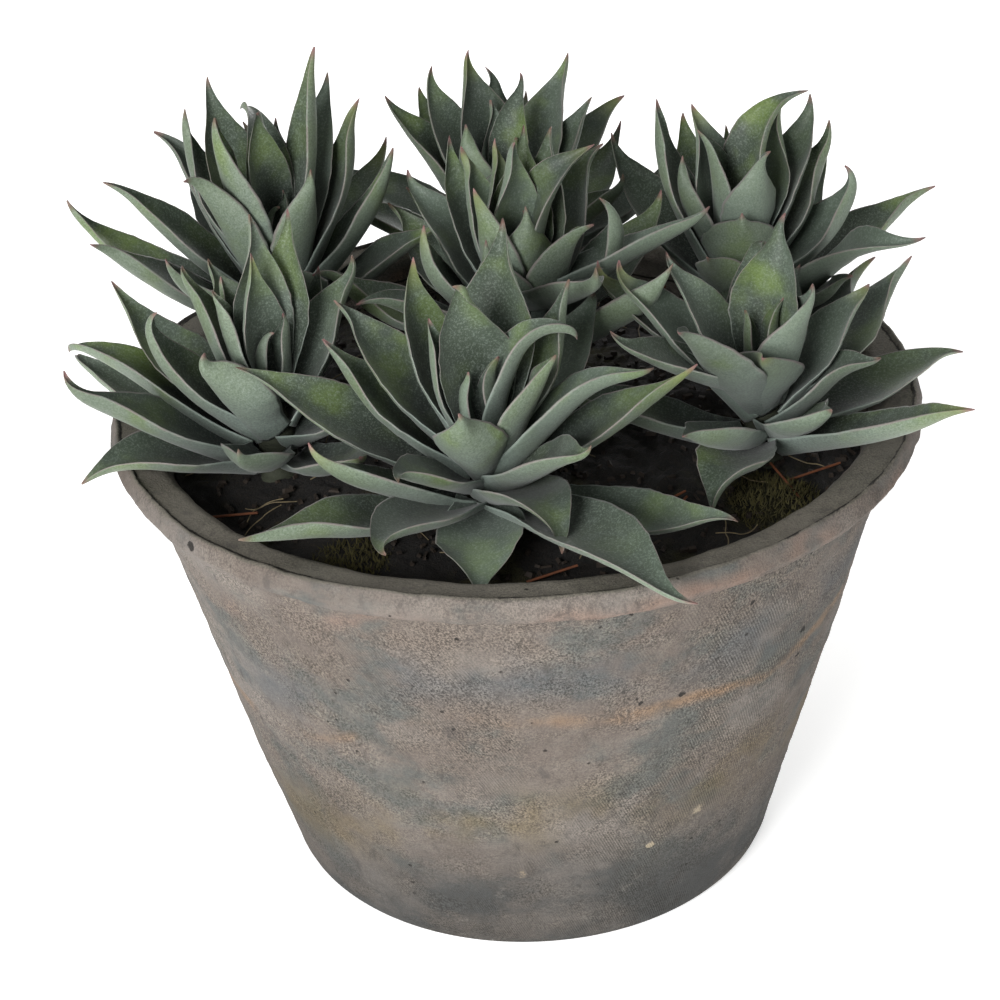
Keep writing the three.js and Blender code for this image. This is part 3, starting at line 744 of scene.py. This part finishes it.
# Scarred stem: dry, dull and ridged, mottled in dark and paler olive.
bark, tree, shader = new_material("houseleek_stem_scarred")
place = add(tree, "TexCoord").outputs["Object"]
scars = grain(place, 3, 4, (1, 1, 3), 0.7)
tree.links.new(blend_colours(tree, scars, "#1b1c14", "#3a3f2e"), shader.inputs["Base Color"])
shader.inputs["Roughness"].default_value = 0.8
bump = add(tree, "Bump", {"Height": scars, "Strength": 0.8, "Distance": 0.001})
tree.links.new(bump.outputs["Normal"], shader.inputs["Normal"])


def leaf_points(heart, row, age, whole, sway):
    """Where the blank's points go for one way that a leaf of this row could grow."""
    azimuth, rise, bend, length, width, curl = row
    azimuth += sway * chance.uniform(-1, 1)
    rise += sway * chance.uniform(-0.6, 1)
    length /= 1000
    width = WIDENING * width / 1000

    # The middle line: how steep it is and where it heads, from the base to the hooked tip.
    share = np.linspace(0, 1, LINE_STEPS + 1)
    turn_in = np.clip((share - 0.5) / 0.5, 0, 1)
    turn_in = turn_in**2 * (3 - 2 * turn_in)
    hook = np.clip((share - 0.8) / 0.2, 0, 1) ** 1.5
    tilt = rise + bend * share + (curl + chance.uniform(-24, 30)) * turn_in
    tilt += chance.uniform(-5, 5) * np.sin(5 * share) + chance.normal(0, 38) * hook
    heading = azimuth + chance.uniform(-9, 9) * share**2 + chance.normal(0, 9) * turn_in
    heading += chance.normal(0, 38) * hook
    tilt, heading = np.radians(tilt), np.radians(heading)
    level = np.stack([np.cos(heading), np.sin(heading), 0 * heading], axis=1)
    upright = np.array((0, 0, 1))
    direction = np.cos(tilt)[:, None] * level + np.sin(tilt)[:, None] * upright
    lean = np.cos(tilt)[:, None] * upright - np.sin(tilt)[:, None] * level
    step = (direction[1:] + direction[:-1]) / 2 * length / LINE_STEPS
    first = math.radians(azimuth)
    reach = STEM_RADIUS + 0.0005 if whole else STEM_RADIUS * (0.65 - 0.35 * age)
    foot = heart + Vector((reach * math.cos(first), reach * math.sin(first), 0.008 + 0.026 * age))
    line = np.array(foot) + np.concatenate([np.zeros((1, 3)), np.cumsum(step, axis=0)])

    # The blade twists a little about that line.
    twist = math.radians(chance.normal(0, 10)) * share + math.radians(chance.normal(0, 20)) * turn_in
    flat = np.cross(lean, direction)
    side = flat * np.cos(twist)[:, None] + lean * np.sin(twist)[:, None]
    lean = lean * np.cos(twist)[:, None] - flat * np.sin(twist)[:, None]

    def along_leaf(values):
        return np.stack([np.interp(along, share, values[:, i]) for i in range(3)], axis=1)

    # Its section at each station is an arc, thickest at the keel, with nicks and ripples at its edge.
    at, *sections = LEAF_STATIONS.T
    fullness, wrap_angle, thick = [np.interp(along, at, values) for values in sections]
    wrap_angle = wrap_angle * chance.uniform(0.8, 1.15 + 0.2 * age)
    edge = [(s * length, math.copysign(9, u), azimuth) for s, u in zip(along, across)]
    nicks = np.array([noise.noise(Vector((s / 0.004, u, a))) for s, u, a in edge])
    ripple = 0.0011 * np.array([noise.noise(Vector((s / 0.022, u + 5, a))) for s, u, a in edge])
    half = width / 2 * fullness * (1 + 0.035 * nicks * np.clip(along * 4, 0, 1))
    spread = half * np.sin(wrap_angle * across) / wrap_angle
    height = half * (1 - np.cos(wrap_angle * across)) / wrap_angle + ripple * np.abs(across)
    keel = over_under * (0.8 + 0.35 * (1 - np.abs(across)))
    height += thick * np.where(over_under > 0, 0.12 * over_under, keel)
    height[on_axis] = -0.4 * thick[on_axis]
    return along_leaf(line) + along_leaf(side) * spread[:, None] + along_leaf(lean) * height[:, None]


def grow_leaf(name, heart, row, age, whole):
    """One leaf as its own piece: of several ways to grow, the one that meets its neighbours least."""
    fewest = None
    for attempt in range(ATTEMPTS):
        points = leaf_points(heart, row, age, whole, 0.9 * attempt)
        surface = BVHTree.FromPolygons(points.tolist(), FREE_FACES)
        low, high = points.min(axis=0), points.max(axis=0)
        met = sum(
            len(surface.overlap(other)) for other, other_low, other_high in grown
            if (low < other_high).all() and (other_low < high).all()
        )
        if fewest is None or met < fewest:
            fewest = met
            chosen = points
            shape = (surface, low, high)
        if met == 0:
            break
    grown.append(shape)
    mesh = blank.data.copy()
    mesh.name = name
    store(mesh, chosen)
    for attribute, value in (
        ("tint", chance.uniform(0, 1)), ("shade", chance.uniform(0, 1)),
        ("greenness", min(1, max(0, chance.normal(0.5, 0.3)))),
    ):
        values = np.full(len(mesh.vertices), value)
        mesh.attributes.new(attribute, "FLOAT", "POINT").data.foreach_set("value", values)
    leaf = bpy.data.objects.new(name, mesh)
    bpy.context.collection.objects.link(leaf)
    mesh.materials.append(leaf_skin)
    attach(leaf, "root")
    return leaf


grown = []  # surface, lowest and highest corner of all that a new leaf should keep clear of
for piece in (pot, soil):
    points = coordinates(piece.data)
    surface = BVHTree.FromPolygons(points.tolist(), [list(f.vertices) for f in piece.data.polygons])
    grown.append((surface, points.min(axis=0), points.max(axis=0)))
chance = np.random.RandomState(7)  # seeded, so that every run grows the same plants
for name, (x, y, lift, rows) in ROSETTES.items():
    heart = Vector((x, y, PLANTING + lift))
    # The stem, ringed with the scars of old leaves, rooted in the soil.
    foot = soil_height(x, y) - STEM_DEPTH
    stem_height = heart.z + STEM_RISE - foot
    bpy.ops.object.select_all(action="DESELECT")
    bpy.ops.mesh.primitive_cylinder_add(
        vertices=24, radius=STEM_RADIUS - 0.001, depth=stem_height, location=(x, y, foot + stem_height / 2)
    )
    stem = bpy.context.object
    stem.name = "stem_" + name
    bpy.ops.object.transform_apply(location=True, rotation=False, scale=False)
    bpy.ops.object.mode_set(mode="EDIT")
    bpy.ops.mesh.select_all(action="DESELECT")
    bpy.ops.object.mode_set(mode="OBJECT")
    for face in stem.data.polygons:
        face.select = face.normal.z > 0.9
    bpy.ops.object.mode_set(mode="EDIT")
    bpy.ops.mesh.select_mode(type="FACE")
    for rise, size in ((0.010, 0.75), (0.008, 0.5)):
        bpy.ops.mesh.extrude_region_move(TRANSFORM_OT_translate={"value": (0, 0, rise)})
        bpy.ops.transform.resize(value=(size, size, 1), center_override=(x, y, heart.z))
    bpy.ops.object.mode_set(mode="OBJECT")
    for e in stem.data.edges:
        ends = [stem.data.vertices[i].co for i in e.vertices]
        e.select = abs(ends[0].z - ends[1].z) > 0.02
    bpy.ops.object.mode_set(mode="EDIT")
    bpy.ops.mesh.select_mode(type="EDGE")
    bpy.ops.mesh.subdivide(number_cuts=16)
    bpy.ops.object.mode_set(mode="OBJECT")
    points = coordinates(stem.data)
    ridges = 0.07 * np.sin(points[:, 2] / 0.0007) + 0.05 * rough(points, 0.004, 2)
    outward = (points - (x, y, 0)) * (1, 1, 0)
    points += outward * ridges[:, None] * 0.8
    store(stem.data, points)
    only(stem)
    bpy.ops.object.shade_smooth()
    stem.data.materials.append(bark)
    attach(stem, "root")
    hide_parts("crown_" + name)
    for i, row in enumerate(rows):
        leaf = grow_leaf(f"blade_{name}_{i + 1:02d}", heart, row, i / (len(rows) - 1), i < OUTER_LEAVES)
        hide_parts(f"leaf_{name}_{i + 1}" if i < OUTER_LEAVES else "crown_" + name)
    for i, row in enumerate(HEART_LEAVES):
        leaf = grow_leaf(f"blade_{name}_heart_{i + 1}", heart, row, 1, False)
        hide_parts("crown_" + name)
bpy.data.objects.remove(blank)

# ---- Moss ----
# Low cushions of moss that have settled on the damp soil in front: hundreds of short shoots, packed
# to a soft mound.
MOSS = [  # CAD piece, x, y, radius, height, shoots
    ("moss_1", 0.102, -0.076, 0.021, 0.006, 900),
    ("moss_2", -0.068, -0.108, 0.017, 0.004, 500),
]

# Moss shoots: dull, mottled from nearly black to olive.
moss_skin, tree, shader = new_material("cushion_moss_shoots")
place = add(tree, "TexCoord").outputs["Object"]
tufts = grain(place, 5, 4, roughness=0.7)
tree.links.new(blend_colours(tree, tufts, "#1a1908", "#4c461c"), shader.inputs["Base Color"])
shader.inputs["Roughness"].default_value = 0.9
for node, x, y, radius, height, shoots in MOSS:
    corners, faces = [], []
    for i in range(shoots):
        angle = chance.uniform(0, 2 * math.pi)
        reach = radius * math.sqrt(chance.uniform(0, 1))
        px, py = x + reach * math.cos(angle), y + reach * math.sin(angle)
        base = soil_height(px, py) + height * (1 - (reach / radius) ** 2) - 0.0015
        lean = Vector((chance.uniform(-1, 1), chance.uniform(-1, 1), 1.2)).normalized()
        tall = chance.uniform(0.002, 0.004)
        thick = chance.uniform(0.0003, 0.0005)
        first = len(corners)
        for k in range(3):
            a = 2 * math.pi * k / 3 + angle
            corners.append((px + thick * math.cos(a), py + thick * math.sin(a), base))
        corners.append(tuple(Vector((px, py, base)) + lean * tall))
        for k in range(3):
            faces.append((first + k, first + (k + 1) % 3, first + 3))
        faces.append((first + 2, first + 1, first))
    mesh = bpy.data.meshes.new("shoots_" + node)
    mesh.from_pydata(corners, [], faces)
    mesh.materials.append(moss_skin)
    shoots_piece = bpy.data.objects.new("shoots_" + node, mesh)
    bpy.context.collection.objects.link(shoots_piece)
    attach(shoots_piece, "root")
    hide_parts(node)

# ---- Litter on the soil ----
# What falls on a pot outdoors and lies loose on the soil: a few rusty pine needles, pale root
# fibres and bark crumbs.
FULL_TURN = 6.28
FIBRES = 70
CRUMBS = 900
CRUMB_CORNERS = [  # of a chip that narrows upwards, in shares of half its size
    (-1, -1, -1), (1, -0.7, -1), (0.8, 1, -1), (-0.9, 0.8, -1),
    (-0.7, -0.8, 1), (0.9, -0.6, 1), (0.5, 0.8, 1), (-0.8, 0.6, 1),
]
CRUMB_FACES = [(3, 2, 1, 0), (4, 5, 6, 7), (0, 1, 5, 4), (1, 2, 6, 5), (2, 3, 7, 6), (3, 0, 4, 7)]
LITTER_REACH = 0.142  # from the middle of the pot
FIBRE_LIMIT = 0.143  # what no fibre reaches past


def litter(name, code, low_code):
    """A dry, dull plant fibre, mottled between two colours."""
    material, tree, shader = new_material(name)
    at = add(tree, "TexCoord").outputs["Object"]
    shades = add(tree, "TexNoise", {"Vector": at, "Scale": 300, "Detail": 2}).outputs["Fac"]
    tree.links.new(blend_colours(tree, shades, low_code, code), shader.inputs["Base Color"])
    shader.inputs["Roughness"].default_value = 0.8
    return material


def thread(name, route, thickness, material):
    """A thin round strand through the points of its route, as a mesh piece."""
    curve = bpy.data.curves.new(name, "CURVE")
    curve.dimensions = "3D"
    curve.bevel_depth = thickness / 2
    curve.bevel_resolution = 1
    curve.use_fill_caps = True
    spline = curve.splines.new("NURBS")
    spline.points.add(len(route) - 1)
    for point, co in zip(spline.points, route):
        point.co = (*co, 1)
    spline.use_endpoint_u = True
    spline.order_u = 3
    strand = bpy.data.objects.new(name, curve)
    bpy.context.collection.objects.link(strand)
    only(strand)
    bpy.ops.object.convert(target="MESH")
    strand = bpy.context.object
    strand.data.materials.clear()
    strand.data.materials.append(material)
    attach(strand, "root")


def settled(x, y, lift):
    """A point just over the soil."""
    return (x, y, float(soil_height(x, y)) + lift)


needle_brown = litter("pine_needle_dried", "#74401f", "#3f2010")
fibre_straw = litter("root_fibre_bleached", "#7a6d50", "#3d3425")
NEEDLES = [  # x and y of its middle, heading in degrees, length
    (0.052, -0.088, 32, 0.030), (0.058, -0.092, 50, 0.022), (0.118, -0.058, 25, 0.026),
    (0.106, -0.066, 120, 0.020), (-0.118, -0.070, -20, 0.028), (0.010, -0.128, 10, 0.020),
    (-0.020, 0.052, 60, 0.030), (0.060, 0.118, 15, 0.026),
]
for i, (x, y, heading, length) in enumerate(NEEDLES):
    dx = math.cos(math.radians(heading)) * length / 2
    dy = math.sin(math.radians(heading)) * length / 2
    route = [settled(x + k * dx, y + k * dy, 0.004 + 0.002 * k) for k in (-1, 0, 1)]
    thread(f"needle_{i + 1}", route, 0.0011, needle_brown)
for i in range(FIBRES):
    angle = chance.uniform(0, 2 * math.pi)
    reach = LITTER_REACH * math.sqrt(chance.uniform(0.15, 1))
    x, y = reach * math.cos(angle), reach * math.sin(angle)
    turn = chance.uniform(0, FULL_TURN)
    route = []
    for k in range(5):
        route.append(settled(x, y, 0.0025 + chance.uniform(0, 0.003)))
        turn += chance.uniform(-0.9, 0.9)
        step = chance.uniform(0.003, 0.007)
        x, y = x + step * math.cos(turn), y + step * math.sin(turn)
        shrink = min(1, FIBRE_LIMIT / math.hypot(x, y))
        x, y = x * shrink, y * shrink
    thread(f"fibre_{i + 1:02d}", route, 0.0005, fibre_straw)

# Bark crumbs: small flat chips, all in one mesh.
bark_brown = litter("bark_crumb_composted", "#2c2013", "#0c0806")
corners, faces = [], []
for i in range(CRUMBS):
    angle = chance.uniform(0, 2 * math.pi)
    reach = LITTER_REACH * math.sqrt(chance.uniform(0, 1))
    middle = Vector(settled(reach * math.cos(angle), reach * math.sin(angle), 0.0012))
    turn = Matrix.Rotation(chance.uniform(0, FULL_TURN), 3, "Z")
    turn @= Matrix.Rotation(chance.uniform(-0.7, 0.7), 3, "X")
    size = [chance.uniform(*limits) for limits in ((0.0007, 0.0026), (0.0005, 0.0012), (0.0004, 0.001))]
    first = len(corners)
    for corner in CRUMB_CORNERS:
        corners.append(middle + turn @ Vector([part * half for part, half in zip(corner, size)]))
    for face in CRUMB_FACES:
        faces.append([first + k for k in face])
mesh = bpy.data.meshes.new("bark_crumbs")
mesh.from_pydata(corners, [], faces)
mesh.materials.append(bark_brown)
chips = bpy.data.objects.new("bark_crumbs", mesh)
bpy.context.collection.objects.link(chips)
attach(chips, "root")
